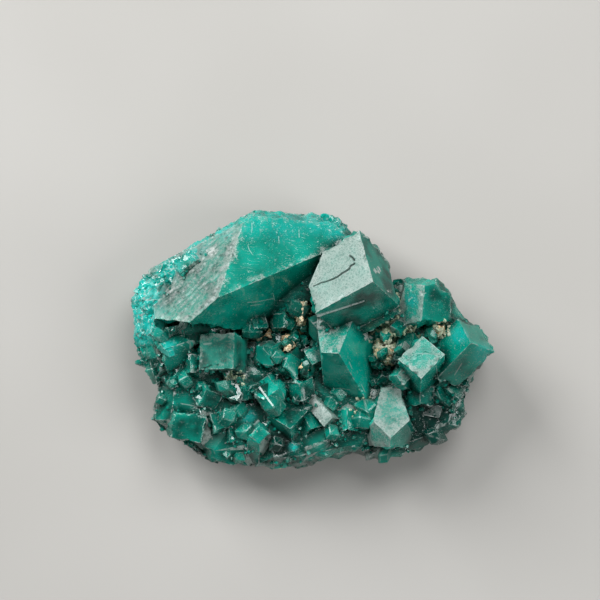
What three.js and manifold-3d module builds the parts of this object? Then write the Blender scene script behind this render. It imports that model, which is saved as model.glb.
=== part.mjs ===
// A dioptase specimen: intergrown green crystals on a small lump of tan rock.
// Millimetres, Z up. The specimen lies on the rock at its back, crystals upwards.
import * as THREE from "three";
import { ConvexGeometry } from "three/addons/geometries/ConvexGeometry.js";
import { mergeVertices } from "three/addons/utils/BufferGeometryUtils.js";
import Module from "manifold-3d";

// Driving dimensions
const ROCK_GAP = 0.3;
const LOBE_FOOT_Z = 1.2;
const LOBE_WAIST_Z = [3.2, 4.8];
const LOBE_FOOT_SHRINK = 0.74;
const LOBE_WAIST_SHRINK = 0.94;
const LOBE_TOP_SHRINK = 0.66;
const LOBE_UNEVEN = 1;
const TERMINATION_TILT = 51;
const SMALL_ROOT_Z = 2.6;
const SMALL_SLENDERNESS = 2.2;
const FILL_RINGS = [
  { inset: 4, drop: -0.6, every: 4, tilt: [5, 30], width: [2.4, 3.8] },
  { inset: 2, drop: 0, every: 2, tilt: [15, 40], width: [2, 3] },
  { inset: 0.2, drop: 1.6, every: 1, tilt: [40, 75], width: [2, 3.2] },
];
const RIM_MARGIN = 0.4;
const FILL_RISE = 1.2;
const FILL_SLENDERNESS = 2;
const FILL_SWAY = 35;
const FILL_ROOT_Z = [1.5, 2.4];
const LUMP_UNEVEN = [0.86, 1.08];
const ROCK_ROOM = [80, 80, 40];
const SEED = 71;

// Colours and surface of the two minerals
const DIOPTASE_COLOUR = 0x0b6f62;
const DIOPTASE_ROUGHNESS = 0.3;
const ROCK_COLOUR = 0xc9a878;
const ROCK_ROUGHNESS = 0.9;

const wasm = await Module();
wasm.setup();

const radians = THREE.MathUtils.degToRad;

// Repeatable random numbers from 0 to 1
function randomSource(seed) {
  let state = seed;
  return () => {
    state = (state * 1664525 + 1013904223) % 4294967296;
    return state / 4294967296;
  };
}

// Unit vector that leans from straight up by tilt towards a compass bearing
function direction(bearing, tilt) {
  const flat = Math.sin(radians(tilt));
  return new THREE.Vector3(
    flat * Math.cos(radians(bearing)),
    flat * Math.sin(radians(bearing)),
    Math.cos(radians(tilt)),
  );
}

// A closed geometry as a solid that can be joined and cut
function solid(geometry) {
  const bare = new THREE.BufferGeometry();
  bare.setAttribute("position", geometry.getAttribute("position"));
  bare.setIndex(geometry.getIndex());
  const merged = mergeVertices(bare, 1e-5);
  return new wasm.Manifold(new wasm.Mesh({
    numProp: 3,
    vertProperties: new Float32Array(merged.getAttribute("position").array),
    triVerts: new Uint32Array(merged.getIndex().array),
  }));
}

function joined(solids) {
  return solids.reduce((whole, piece) => whole.add(piece));
}

// The convex body inside a set of faces, each a plane facing outwards and moved out by a margin
function bodyInside(planes, margin) {
  const faces = planes.map((plane) => new THREE.Plane(plane.normal, plane.constant - margin));
  const corners = [];
  const inside = (point) => faces.every((face) => face.distanceToPoint(point) < 1e-6);
  for (let i = 0; i < faces.length; i += 1) {
    for (let j = i + 1; j < faces.length; j += 1) {
      for (let k = j + 1; k < faces.length; k += 1) {
        const point = meetingPoint(faces[i], faces[j], faces[k]);
        if (point && inside(point) && !corners.some((c) => c.distanceTo(point) < 1e-5)) {
          corners.push(point);
        }
      }
    }
  }
  return solid(new ConvexGeometry(corners));
}

function bodiesInside(crystals, margin) {
  return crystals.map((planes) => bodyInside(planes, margin));
}

// The point that three faces share
function meetingPoint(a, b, c) {
  const across = new THREE.Vector3().crossVectors(b.normal, c.normal);
  const volume = a.normal.dot(across);
  if (Math.abs(volume) < 1e-6) {
    return null;
  }
  return across.multiplyScalar(-a.constant)
    .addScaledVector(new THREE.Vector3().crossVectors(c.normal, a.normal), -b.constant)
    .addScaledVector(new THREE.Vector3().crossVectors(a.normal, b.normal), -c.constant)
    .divideScalar(volume);
}

// A face at a distance from the tip, measured along the face's own normal
function faceFrom(tip, normal, distance) {
  const through = tip.clone().addScaledVector(normal, distance);
  return new THREE.Plane().setFromNormalAndCoplanarPoint(normal, through);
}

// The level that a crystal ends at below
function rootFace(z) {
  return faceFrom(new THREE.Vector3(0, 0, z), new THREE.Vector3(0, 0, -1), 0);
}

// Slopes of the three edges of a square corner whose edges run along these bearings in plan
function squareCornerEdges(bearings) {
  const spread = (i, j) => -Math.cos(radians(bearings[i] - bearings[j]));
  return bearings.map((bearing, i) => {
    const j = (i + 1) % 3;
    const k = (i + 2) % 3;
    const slope = Math.sqrt((spread(i, j) * spread(i, k)) / spread(j, k));
    return new THREE.Vector3(Math.cos(radians(bearing)), Math.sin(radians(bearing)), -slope);
  });
}

// A blocky crystal with three end faces meeting in its tip.
// edges: compass bearing and reach in plan of the three edges that leave the tip
function blockCrystal({ tip, edges, root, cuts = [] }) {
  const peak = new THREE.Vector3(...tip);
  const runs = squareCornerEdges(edges.map(([bearing]) => bearing));
  const faces = [rootFace(root)];
  for (let i = 0; i < 3; i += 1) {
    const j = (i + 1) % 3;
    const k = (i + 2) % 3;
    const end = new THREE.Vector3().crossVectors(runs[i], runs[j]).normalize();
    end.multiplyScalar(-Math.sign(end.dot(runs[k])));
    faces.push(faceFrom(peak, end, 0));
    faces.push(sideFace(peak, runs[i], runs[j], edges[j][1]));
    faces.push(sideFace(peak, runs[j], runs[i], edges[i][1]));
  }
  cuts.forEach(([bearing, tilt, distance]) => {
    faces.push(faceFrom(peak, direction(bearing, tilt), distance));
  });
  return faces;
}

// The upright side of a block that runs along one edge at the reach of another
function sideFace(peak, along, towards, reach) {
  const outward = new THREE.Vector3(along.y, -along.x, 0).normalize();
  outward.multiplyScalar(Math.sign(outward.dot(towards)));
  return faceFrom(peak, outward, reach * outward.dot(towards));
}

// A crystal given by its faces: bearing, tilt from flat, distance from the tip
function facedCrystal({ tip, faces, root }) {
  const peak = new THREE.Vector3(...tip);
  const planes = faces.map(([bearing, tilt, distance]) => (
    faceFrom(peak, direction(bearing, tilt), distance)
  ));
  return [...planes, rootFace(root)];
}

// A six-sided prism with a three-faced end, the usual habit of the mineral.
// facing: the bearing that one of the end faces looks towards
function pointCrystal({ tip, lean, facing, width, length, root }) {
  const peak = new THREE.Vector3(...tip);
  const axis = direction(...lean);
  const start = direction(facing, 90).projectOnPlane(axis).normalize();
  const around = (angle) => start.clone().applyAxisAngle(axis, radians(angle));
  const faces = [faceFrom(peak, axis.clone().negate(), length), rootFace(root)];
  for (let side = 0; side < 6; side += 1) {
    faces.push(faceFrom(peak, around(30 + 60 * side), width / 2));
  }
  for (let end = 0; end < 3; end += 1) {
    const slope = axis.clone().multiplyScalar(Math.cos(radians(TERMINATION_TILT)));
    slope.addScaledVector(around(120 * end), Math.sin(radians(TERMINATION_TILT)));
    faces.push(faceFrom(peak, slope, 0));
  }
  return faces;
}

// The grown-together lower parts of the crystals, one many-sided lobe for each part of the outline
const LOBES = [
  { top: 6.4, outline: [[-15, 8.4], [-10.7, 10.7], [-8.5, 12.1], [-5.6, 13.4], [-3.3, 13.2],
    [1.1, 12.8], [3.4, 12.6], [4.8, 11.3], [6.6, 9.7], [7.4, 7.9], [8.6, 5.8], [7.2, 1],
    [-15.7, 1.8], [-17.1, 6.9]] },
  { top: 6.6, outline: [[-18.9, 4.2], [-18.6, 5.1], [-17.3, 6.9], [-15, 8.4], [-8.4, 5.1],
    [-7.3, -3.2], [-16, -4.8], [-17.6, -2.4], [-18.7, 0.2]] },
  { top: 6.2, outline: [[-16.1, -5], [-16.6, -8.4], [-15.5, -9.1], [-14.2, -10.3],
    [-11.4, -12.5], [-9.7, -13.2], [-6.2, -13.5], [-1.1, -11.5], [-1.1, -1.1], [-15.7, -0.6]] },
  { top: 6, outline: [[-6.2, -13.5], [-4.2, -13.6], [-2.5, -13.8], [-1.1, -13.3], [0.9, -12.8],
    [3.4, -11.9], [7.7, -11.5], [9.3, -8.4], [9.3, -0.1], [-7.3, -0.1]] },
  { top: 6.4, outline: [[8.6, 5.8], [10.7, 6.2], [11.9, 6.3], [13.2, 6], [14.1, 5.3],
    [14.7, 2.4], [18, 0.2], [19, -1.3], [18.3, -2.8], [16.7, -5.1], [13.5, -6.5], [7.2, -5.3],
    [4.1, 2]] },
  { top: 5.6, outline: [[5.5, -12.9], [7.5, -12.9], [12.6, -11.2], [14.4, -9.3], [15.9, -9.2],
    [16.6, -7.7], [16.4, -5.7], [13.5, -3.2], [7.2, -1.1], [3.1, -6.3]] },
];

function middleOf(outline) {
  return [0, 1].map((axis) => (
    outline.reduce((sum, point) => sum + point[axis], 0) / outline.length
  ));
}

function lobe({ outline, top }, random) {
  const middle = middleOf(outline);
  const ring = (z, shrink, rise) => outline.map(([x, y]) => new THREE.Vector3(
    middle[0] + (x - middle[0]) * shrink,
    middle[1] + (y - middle[1]) * shrink,
    z + rise * random(),
  ));
  return solid(new ConvexGeometry([
    ...ring(LOBE_FOOT_Z, LOBE_FOOT_SHRINK, LOBE_UNEVEN),
    ...ring(LOBE_WAIST_Z[0], LOBE_WAIST_SHRINK, LOBE_UNEVEN),
    ...ring(LOBE_WAIST_Z[1], LOBE_WAIST_SHRINK, LOBE_UNEVEN),
    ...ring(top, LOBE_TOP_SHRINK, LOBE_UNEVEN),
  ]));
}

// The large crystals
const RIDGE = { tip: [-9.6, 4.3, 13], root: 3, faces: [
  [307, 55.5, 0], [78, 31, 0], [135, 53, 0],
  [85, 82, 8.1], [38, 82, 13.6], [352, 85, 15], [262, 88, 2.9], [185, 86, 6.4], [119, 84, 5.2],
] };
const BLOCK = { tip: [6.4, 6, 15], root: 4,
  edges: [[104.6, 5.4], [208.7, 6.8], [318.2, 3.8]], cuts: [[156.4, 88, 5.7], [33, 86, 1.9]] };
const BLOCK_LEDGE = { tip: [6.7, 4.9, 13.4], root: 4,
  edges: [[104.6, 4], [208.7, 6.6], [318.2, 3.5]], cuts: [[156.4, 88, 6.2], [33, 86, 2]] };
const CENTRE = { tip: [2.9, -1.4, 12.8], root: 4,
  edges: [[67, 4.7], [300.7, 6.2], [177, 3.6]], cuts: [[187, 88, 1.75], [215, 88, 3.1]] };
const OUTER_POINT = { tip: [16.6, -0.3, 10.6], root: 3,
  edges: [[118, 2.9], [339, 2.6], [227, 5.2]], cuts: [[51, 80, 1.3]] };
const DIAMOND = { tip: [11.4, -4, 12], root: 4,
  edges: [[45, 3.5], [140, 3.1], [270, 2.3]] };
const UPRIGHT_PRISM = { tip: [11.5, 2.1, 10.4], root: 3, faces: [
  [5, 40, 0], [165, 40, 0], [92, 84, 3.5], [48, 84, 3.6], [5, 86, 3], [165, 86, 2.4],
  [275, 80, 0.2],
] };
const FROSTED_PLATE = { tip: [8.3, -10.2, 9.6], root: 3, faces: [
  [95, 22, 0], [215, 58, 0], [320, 62, 0], [20, 86, 2.5], [100, 86, 5.2], [165, 86, 2.2],
  [225, 86, 3.2], [265, 86, 0.9],
] };
const LEFT_BLOCK = { tip: [-8, -3, 10], root: 4,
  edges: [[88, 3.7], [182, 3.7], [335, 1.6]] };
const CORNER_BLOCK = { tip: [-14.1, -7.4, 8.6], root: 3,
  edges: [[351, 3.4], [143, 2.1], [260, 2.9]] };
const LOW_FACE = { tip: [-2.1, -9.3, 9], root: 3,
  edges: [[46, 3.4], [148, 2.9], [277, 2]] };
const FOOT_SLIVER = { tip: [2.4, -8.1, 8.2], root: 3,
  edges: [[130, 4.2], [225, 1.4], [340, 1]] };

function largeCrystals() {
  const blocks = [BLOCK, BLOCK_LEDGE, CENTRE, OUTER_POINT, DIAMOND, LEFT_BLOCK, CORNER_BLOCK,
    LOW_FACE, FOOT_SLIVER];
  const faced = [RIDGE, UPRIGHT_PRISM, FROSTED_PLATE];
  return [...blocks.map(blockCrystal), ...faced.map(facedCrystal)];
}

// Smaller crystals in the hollows between the large ones and over the lower field
const SMALL_CRYSTALS = [
  { tip: [-4.2, -0.8, 9], lean: [80, 15], facing: 100, width: 3 },
  { tip: [-2.9, -2.9, 8.8], lean: [200, 20], facing: 250, width: 3 },
  { tip: [-15.2, -1, 9], lean: [180, 20], facing: 200, width: 4.2 },
  { tip: [-9.8, -9.4, 7.9], lean: [260, 20], facing: 60, width: 2.8 },
  { tip: [-7.6, -6.4, 8.4], lean: [270, 30], facing: 240, width: 3 },
  { tip: [-5, -6.3, 9], lean: [220, 25], facing: 215, width: 3.4 },
  { tip: [-5.3, -8.8, 8.4], lean: [85, 40], facing: 150, width: 2.4 },
  { tip: [0.1, -9.4, 8], lean: [300, 25], facing: 300, width: 3.4 },
  { tip: [-1.1, -10.7, 7.2], lean: [90, 22], facing: 130, width: 2.2 },
  { tip: [-8.8, -3.9, 8.6], lean: [270, 40], facing: 90, width: 3 },
  { tip: [6, -11.7, 5.8], lean: [270, 30], facing: 270, width: 4 },
  { tip: [12.2, -9.7, 6.4], lean: [290, 30], facing: 290, width: 3.8 },
  { tip: [14.5, -7, 7], lean: [320, 35], facing: 320, width: 3 },
  { tip: [15.6, -6.2, 6.6], lean: [330, 40], facing: 90, width: 2.4 },
  { tip: [13.4, -8.2, 6.8], lean: [300, 35], facing: 120, width: 2.6 },
  { tip: [11.4, -6.8, 8], lean: [270, 30], facing: 270, width: 3 },
  { tip: [8.9, -3.7, 10.4], lean: [150, 18], facing: 120, width: 2 },
  { tip: [0.8, 1, 9.4], lean: [200, 15], facing: 200, width: 3.2 },
  { tip: [0.2, -2.6, 8.8], lean: [250, 25], facing: 200, width: 2.6 },
  { tip: [-5.8, 1, 7.6], lean: [270, 25], facing: 290, width: 2.6 },
  { tip: [-2.7, 1.3, 7.9], lean: [290, 20], facing: 20, width: 2.4 },
  { tip: [-1.2, -4.6, 8.4], lean: [110, 20], facing: 100, width: 2.8 },
  { tip: [8.3, 2.2, 9.2], lean: [300, 20], facing: 60, width: 1.8 },
  { tip: [9.2, 0.9, 9.5], lean: [280, 15], facing: 100, width: 1.7 },
  { tip: [7.5, 0.2, 9], lean: [200, 20], facing: 320, width: 1.4 },
  { tip: [9.5, -0.8, 9.7], lean: [120, 15], facing: 20, width: 1.5 },
  { tip: [-13.6, 7, 7.8], lean: [200, 35], facing: 215, width: 3.2 },
  { tip: [-17.4, 4.1, 6.6], lean: [170, 30], facing: 130, width: 3.4 },
  { tip: [-17, 1.6, 7], lean: [190, 30], facing: 150, width: 3 },
  { tip: [-16.2, 5.8, 6.8], lean: [150, 30], facing: 110, width: 3 },
  { tip: [-17.8, 0.3, 6.2], lean: [190, 40], facing: 200, width: 2.6 },
  { tip: [-10.3, 9.1, 8], lean: [120, 30], facing: 130, width: 1.6 },
  { tip: [-12.1, 8.4, 7.2], lean: [120, 35], facing: 125, width: 2.4 },
  { tip: [-8.8, 10.9, 7.2], lean: [110, 35], facing: 110, width: 2.4 },
  { tip: [-12.5, -3.4, 8.4], lean: [240, 20], facing: 40, width: 3 },
  { tip: [-10.8, -5.2, 8.4], lean: [100, 20], facing: 170, width: 3 },
  { tip: [-6.8, -4.7, 8.7], lean: [90, 18], facing: 75, width: 2.6 },
  { tip: [-15, -4.4, 7.6], lean: [200, 30], facing: 230, width: 3.4 },
  { tip: [-12, -9.2, 7.6], lean: [250, 30], facing: 10, width: 3 },
  { tip: [-8.4, -10.7, 7.2], lean: [270, 30], facing: 150, width: 3 },
  { tip: [-7.6, -12, 6.2], lean: [265, 35], facing: 85, width: 3 },
  { tip: [-10.2, -11.3, 6.2], lean: [250, 35], facing: 180, width: 3.2 },
  { tip: [0, -10.9, 6.8], lean: [280, 25], facing: 45, width: 3 },
  { tip: [2.2, -11, 7], lean: [270, 30], facing: 160, width: 3 },
  { tip: [3.8, -9.4, 8], lean: [260, 25], facing: 270, width: 3.4 },
];

function smallCrystals() {
  return SMALL_CRYSTALS.map((each) => pointCrystal({
    ...each,
    length: SMALL_SLENDERNESS * each.width,
    root: SMALL_ROOT_Z,
  }));
}

// The way out of an outline at one of its points, as a bearing
function outwardBearing(outline, index) {
  const middle = middleOf(outline);
  const before = outline[(index + outline.length - 1) % outline.length];
  const after = outline[(index + 1) % outline.length];
  const across = [after[1] - before[1], before[0] - after[0]];
  const towards = outline[index].map((value, axis) => value - middle[axis]);
  const side = Math.sign(across[0] * towards[0] + across[1] * towards[1]);
  return THREE.MathUtils.radToDeg(Math.atan2(side * across[1], side * across[0]));
}

// Upright planes round an outline that keep its crystals within the rim
function rimPlanes(outline) {
  return outline.map((point, index) => {
    const next = outline[(index + 1) % outline.length];
    const middle = middleOf(outline);
    const out = new THREE.Vector3(next[1] - point[1], point[0] - next[0], 0).normalize();
    const corner = new THREE.Vector3(point[0], point[1], 0);
    const inward = new THREE.Vector3(middle[0], middle[1], 0).sub(corner);
    out.multiplyScalar(-Math.sign(out.dot(inward)));
    return faceFrom(corner, out, RIM_MARGIN);
  });
}

// Little crystals over the lobes and round the rim, turned every way
function fillCrystals(random) {
  const between = (low, high) => low + (high - low) * random();
  const crystals = [];
  LOBES.forEach(({ outline, top }) => {
    FILL_RINGS.forEach(({ inset, drop, every, tilt, width }) => {
      for (let index = 0; index < outline.length; index += every) {
        const bearing = outwardBearing(outline, index);
        const inward = direction(bearing, 90).multiplyScalar(-inset);
        const wide = between(...width);
        const crystal = pointCrystal({
          tip: [
            outline[index][0] + inward.x,
            outline[index][1] + inward.y,
            top + between(0, FILL_RISE) - drop,
          ],
          lean: [bearing + between(-FILL_SWAY, FILL_SWAY), between(...tilt)],
          facing: between(0, 360),
          width: wide,
          length: FILL_SLENDERNESS * wide,
          root: between(...FILL_ROOT_Z),
        });
        crystals.push([...crystal, ...rimPlanes(outline)]);
      }
    });
  });
  return crystals;
}

// The rock: lumps under and between the crystals, seen only down in the hollows and at one edge
const ROCK_LUMPS = [
  { at: [-3, 0, 1.6], radii: [7, 5.6, 4.4] },
  { at: [-9, -1.4, 1.4], radii: [6, 5, 2.8] },
  { at: [5, -3, 1.4], radii: [6.4, 5.4, 3] },
  { at: [-0.8, 2.8, 4], radii: [1.4, 1.8, 5] },
  { at: [-2.4, -0.9, 4], radii: [1.3, 1.5, 5] },
  { at: [-0.9, -2.9, 4], radii: [1.8, 1, 4.8] },
  { at: [7.9, -1.2, 4], radii: [2.2, 1.9, 5.2] },
  { at: [13.3, 1.3, 3.8], radii: [1.7, 1.5, 5.2] },
  { at: [-14.8, 2.2, 3.8], radii: [2, 1.8, 5] },
  { at: [-11.8, -2.2, 3.8], radii: [2, 2.2, 5] },
  { at: [-12.4, 1.2, 1.6], radii: [4, 3.2, 2.6] },
  { at: [10.8, -0.6, 1.6], radii: [4.4, 3.2, 2.6] },
  { at: [-3.1, -8.8, 2.9], radii: [3, 5, 2] },
];

function lump(at, radii, random) {
  const ball = new THREE.IcosahedronGeometry(1, 1);
  ball.deleteAttribute("normal");
  ball.deleteAttribute("uv");
  const stone = mergeVertices(ball, 1e-4);
  const places = stone.getAttribute("position");
  for (let i = 0; i < places.count; i += 1) {
    const uneven = LUMP_UNEVEN[0] + (LUMP_UNEVEN[1] - LUMP_UNEVEN[0]) * random();
    places.setXYZ(i,
      at[0] + places.getX(i) * radii[0] * uneven,
      at[1] + places.getY(i) * radii[1] * uneven,
      at[2] + places.getZ(i) * radii[2] * uneven);
  }
  return solid(stone);
}

function rockMass(margin) {
  const random = randomSource(SEED + 1);
  const lumps = ROCK_LUMPS.map(({ at, radii }) => (
    lump(at, radii.map((radius) => radius + margin), random)
  ));
  return joined(lumps);
}

// Crystals keep their faces, and the rock and the lobes give way to each other and to them
function specimen() {
  const random = randomSource(SEED);
  const grown = [...largeCrystals(), ...smallCrystals()];
  const around = [...LOBES.map((each) => lobe(each, random)),
    ...bodiesInside(fillCrystals(random), 0)];
  const crystals = joined(bodiesInside(grown, 0))
    .add(joined(around).subtract(rockMass(ROCK_GAP / LUMP_UNEVEN[0])));
  const aboveBase = new THREE.BoxGeometry(...ROCK_ROOM).translate(0, 0, ROCK_ROOM[2] / 2);
  const rock = rockMass(0)
    .subtract(joined(bodiesInside(grown, ROCK_GAP)))
    .intersect(solid(aboveBase));
  return { crystals, rock };
}

// The corners of the largest closed surface, without loose crumbs and closed-in hollows
function largestShell(corners, count) {
  const leader = Array.from({ length: count }, (unused, index) => index);
  const find = (index) => {
    let top = index;
    while (leader[top] !== top) {
      leader[top] = leader[leader[top]];
      top = leader[top];
    }
    return top;
  };
  for (let i = 0; i < corners.length; i += 3) {
    leader[find(corners[i + 1])] = find(corners[i]);
    leader[find(corners[i + 2])] = find(corners[i]);
  }
  const sizes = new Map();
  corners.forEach((corner) => sizes.set(find(corner), (sizes.get(find(corner)) ?? 0) + 1));
  const largest = [...sizes.keys()].reduce((a, b) => (sizes.get(b) > sizes.get(a) ? b : a));
  return corners.filter((corner) => find(corner) === largest);
}

function mesh(name, body, material) {
  const data = body.getMesh();
  const shell = largestShell([...data.triVerts], data.numVert);
  const geometry = new THREE.BufferGeometry();
  geometry.setAttribute("position", new THREE.BufferAttribute(data.vertProperties, 3));
  geometry.setIndex(shell);
  const flat = geometry.toNonIndexed();
  flat.computeVertexNormals();
  const piece = new THREE.Mesh(flat, material);
  piece.name = name;
  return piece;
}

function dioptaseMaterial() {
  return new THREE.MeshStandardMaterial({
    color: DIOPTASE_COLOUR,
    roughness: DIOPTASE_ROUGHNESS,
    metalness: 0,
  });
}

function rockMaterial() {
  return new THREE.MeshStandardMaterial({
    color: ROCK_COLOUR,
    roughness: ROCK_ROUGHNESS,
    metalness: 0,
  });
}

function buildPart() {
  const group = new THREE.Group();
  const { crystals, rock } = specimen();
  group.add(mesh("dioptase_crystals", crystals, dioptaseMaterial()));
  group.add(mesh("host_rock", rock, rockMaterial()));
  const box = new THREE.Box3().setFromObject(group);
  const middle = box.getCenter(new THREE.Vector3());
  group.children.forEach((piece) => piece.geometry.translate(-middle.x, -middle.y, -box.min.z));
  return group;
}

export default buildPart();
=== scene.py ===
import math

import bmesh
import bpy
import numpy as np
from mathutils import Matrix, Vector, noise
from mathutils.kdtree import KDTree


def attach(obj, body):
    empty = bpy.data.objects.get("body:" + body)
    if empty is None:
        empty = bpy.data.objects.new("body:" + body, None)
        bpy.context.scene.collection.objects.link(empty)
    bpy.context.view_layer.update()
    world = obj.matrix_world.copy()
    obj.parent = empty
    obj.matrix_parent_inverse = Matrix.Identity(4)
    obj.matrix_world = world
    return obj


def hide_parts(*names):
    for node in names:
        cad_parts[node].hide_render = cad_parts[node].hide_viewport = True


mm = 0.001
farAway = 9.0                   # mm, stands for nothing near
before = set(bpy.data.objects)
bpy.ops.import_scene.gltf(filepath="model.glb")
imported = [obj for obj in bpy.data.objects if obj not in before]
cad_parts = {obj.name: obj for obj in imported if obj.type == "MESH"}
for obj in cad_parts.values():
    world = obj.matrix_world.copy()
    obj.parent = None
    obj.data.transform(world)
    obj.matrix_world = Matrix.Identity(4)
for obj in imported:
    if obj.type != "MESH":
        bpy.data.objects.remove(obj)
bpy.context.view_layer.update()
print("frame loaded:", sorted(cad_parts))


def hexColour(code):
    parts = [int(code[i:i + 2], 16) / 255 for i in (0, 2, 4)]
    return [c / 12.92 if c <= 0.04045 else ((c + 0.055) / 1.055) ** 2.4 for c in parts] + [1.0]


def compass(x, y):
    return math.degrees(math.atan2(y, x)) % 360


# Crystals

crystalBody = {
    "edgeLength": 0.5,          # mm, longest mesh edge on the faces
    "borderEdge": 0.32,         # mm, along the edges of the faces
    "borderFloor": 2.0,         # mm, lower edges stay coarse
    "steppedEdge": 0.22,        # mm, on the rim and on faces with growth steps
    "fineEdge": 0.09,           # mm, beside cracks and scratches
    "fineReach": 0.35,          # mm either side of a line
    "lineFloor": 5.0,           # mm, scratches and the ledge lie higher than this
    "crackFloor": 8.0,          # mm, and cracks higher than this
    "sharpAngle": 14.0,         # degrees between faces that keep a crisp edge
    "chipDepth": 0.52,          # mm, deepest nick out of an edge, per unit of noise
    "chipReach": 0.26,          # mm, how far a nick spreads over the face
    "chipStart": 0.12,          # noise value that a nick starts at
    "chipScales": (1.3, 3.7),   # per mm, coarse and fine noise
    "stepHeight": 0.2,          # mm, growth steps
    "stepWidth": 1.15,          # mm from step to step
    "stepMargin": 0.35,         # mm, steps fade out towards the edges of a face
    "stepGap": 0.1,             # dark part at each end of a step
    "crackDepth": 0.2,          # mm
    "crackWidths": ((0.5, 3.6), (0.05, 0.1)),                   # mm, at these x: it closes to the left
    "ledgeHeight": 0.12,        # mm
    "ledgeReach": 0.16,         # mm
    "ledgeWidths": ((0.1, 1.2, 5.4), (0.34, 0.13, 0.09)),       # mm, at these x
    "scratchWidth": 0.07,       # mm
    "bumpHeight": 0.55,         # mm, bumps of the glowing rim
    "bumpWidth": 0.85,          # mm
    "bumpLevel": 0.45,          # distance from the middle of a bump that stays level
    "rimFloor": 1.0,            # mm, no bumps below
    "wallHeight": 0.8,          # mm, blocky lumps round the sides
    "wallWidth": 1.7,           # mm
    "wallLevel": 0.5,
    "wallLean": (-0.75, 0.6),   # how far up a side face may look
    "wallTop": 8.0,             # mm
    "wallArea": 1.2,            # mm2, smaller faces stay plain
    "creviceReach": 0.8,        # mm, druse gathers this close to a hollow
    "creviceDruse": 0.25,
    "sugarTop": 8.5,            # mm, no sugar higher than this
    "fieldLean": 0.5,           # flats between the large crystals that carry the field
    "fieldBand": (3.5, 8.5),    # mm above the floor
    "fieldBack": 3.5,           # mm in y
    "fieldLeft": -15.5,         # mm in x
    "seed": 12,
}

# named faces of the large crystals: tip in mm, then for each face the bearing it looks to and
# how frosted, how light, how matt and how stepped it is
largeFaces = [
    {"tip": (-9.69, 4.38, 13.0),        # ridge
     "faces": [(307, 0.03, 0.42, 0.1, 0.0), (78, 0.2, 0.36, 0.2, 0.0), (135, 0.52, 0.16, 0.5, 1.0)]},
    {"tip": (6.31, 6.08, 15.0),         # block
     "faces": [(138, 0.74, 0.4, 0.4, 0.0), (285, 0.04, 0.06, 0.15, 0.0), (29, 0.05, -0.05, 0.7, 0.0)]},
    {"tip": (6.61, 4.98, 13.4),         # ledge of the block
     "faces": [(138, 0.7, 0.5, 0.4, 0.0), (285, 0.12, 0.2, 0.3, 0.0), (29, 0.08, 0.1, 0.7, 0.0)]},
    {"tip": (2.81, -1.32, 12.8),        # centre
     "faces": [(121, 0.42, 0.5, 0.3, 0.0), (357, 0.05, 0.85, 0.1, 0.0), (247, 0.04, 0.6, 0.1, 0.0)]},
    {"tip": (16.51, -0.22, 10.6),       # outer point
     "faces": [(172, 0.04, 0.28, 0.1, 0.0), (283, 0.05, 0.24, 0.6, 0.0), (48, 0.1, 0.3, 0.4, 0.0)]},
    {"tip": (11.31, -3.92, 12.0),       # diamond
     "faces": [(92, 0.4, 0.4, 0.3, 0.4), (205, 0.06, 0.5, 0.2, 0.0), (337, 0.06, 0.45, 0.2, 0.0)]},
    {"tip": (11.41, 2.18, 10.4),        # upright prism
     "faces": [(165, 0.4, 0.6, 0.3, 0.3), (5, 0.06, 0.2, 0.1, 0.0)]},
    {"tip": (8.21, -10.12, 9.6),        # frosted plate
     "faces": [(95, 0.46, 0.3, 0.4, 0.25), (215, 0.44, 0.5, 0.3, 0.0), (320, 0.06, 0.34, 0.1, 0.0)]},
    {"tip": (-8.09, -2.92, 10.0),       # left block
     "faces": [(135, 0.3, 0.0, 1.0, 0.3), (258, 0.3, 0.12, 0.8, 0.0), (32, 0.06, 0.3, 0.4, 0.0)]},
    {"tip": (-14.19, -7.32, 8.6),       # corner block
     "faces": [(67, 0.18, 0.02, 0.6, 0.3), (201, 0.2, 0.1, 0.5, 0.0), (305, 0.04, 0.2, 0.1, 0.0)]},
    {"tip": (-2.19, -9.22, 9.0),        # low face
     "faces": [(97, 0.12, 0.1, 0.2, 0.3), (212, 0.1, 0.05, 0.4, 0.0), (341, 0.06, 0.2, 0.2, 0.0)]},
    {"tip": (2.31, -8.02, 8.2),         # foot sliver
     "faces": [(177, 0.75, 0.5, 0.5, 0.0), (282, 0.4, 0.4, 0.5, 0.0), (55, 0.5, 0.5, 0.5, 0.0)]},
    {"tip": (-10.39, 9.18, 8.0),        # white chip
     "faces": [(130, 1.0, 1.0, 0.5, 0.0), (10, 0.9, 1.0, 0.5, 0.0), (250, 0.9, 0.9, 0.5, 0.0)]},
]

# painted glow where the crystal is thin and light comes through: x, y, reach in mm, strength
paintedGlowPlaces = [
    (-17.6, 2.2, 2.8, 1.0), (-17.4, 4.8, 2.2, 1.0), (-2.7, 13.2, 3.2, 0.45), (-6.4, 12.8, 2.4, 0.45),
    (-9.0, 11.6, 1.3, 0.9), (10.4, 4.15, 0.75, 1.0), (15.3, 0.5, 1.0, 0.75), (-1.9, -11.1, 0.6, 1.0),
    (-6.6, -7.9, 0.9, 0.9), (-14.8, -0.7, 0.9, 0.7), (2.6, 12.0, 1.8, 0.6), (17.8, -1.4, 1.2, 0.4),
    (-12.0, 9.8, 1.8, 0.8), (-15.0, 7.6, 1.8, 0.8), (0.4, 12.8, 2.0, 0.6), (-18.0, 0.6, 1.6, 0.8),
]

# painted shade over the deep, dark parts of the cluster
paintedShadePlaces = [
    (12.6, -9.0, 3.4, 1.0), (-3.4, -11.0, 1.5, 1.0), (-14.6, -9.6, 1.8, 0.5), (5.6, -12.4, 2.0, 0.8),
    (-4.2, 0.9, 2.2, 0.6),
]
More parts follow.
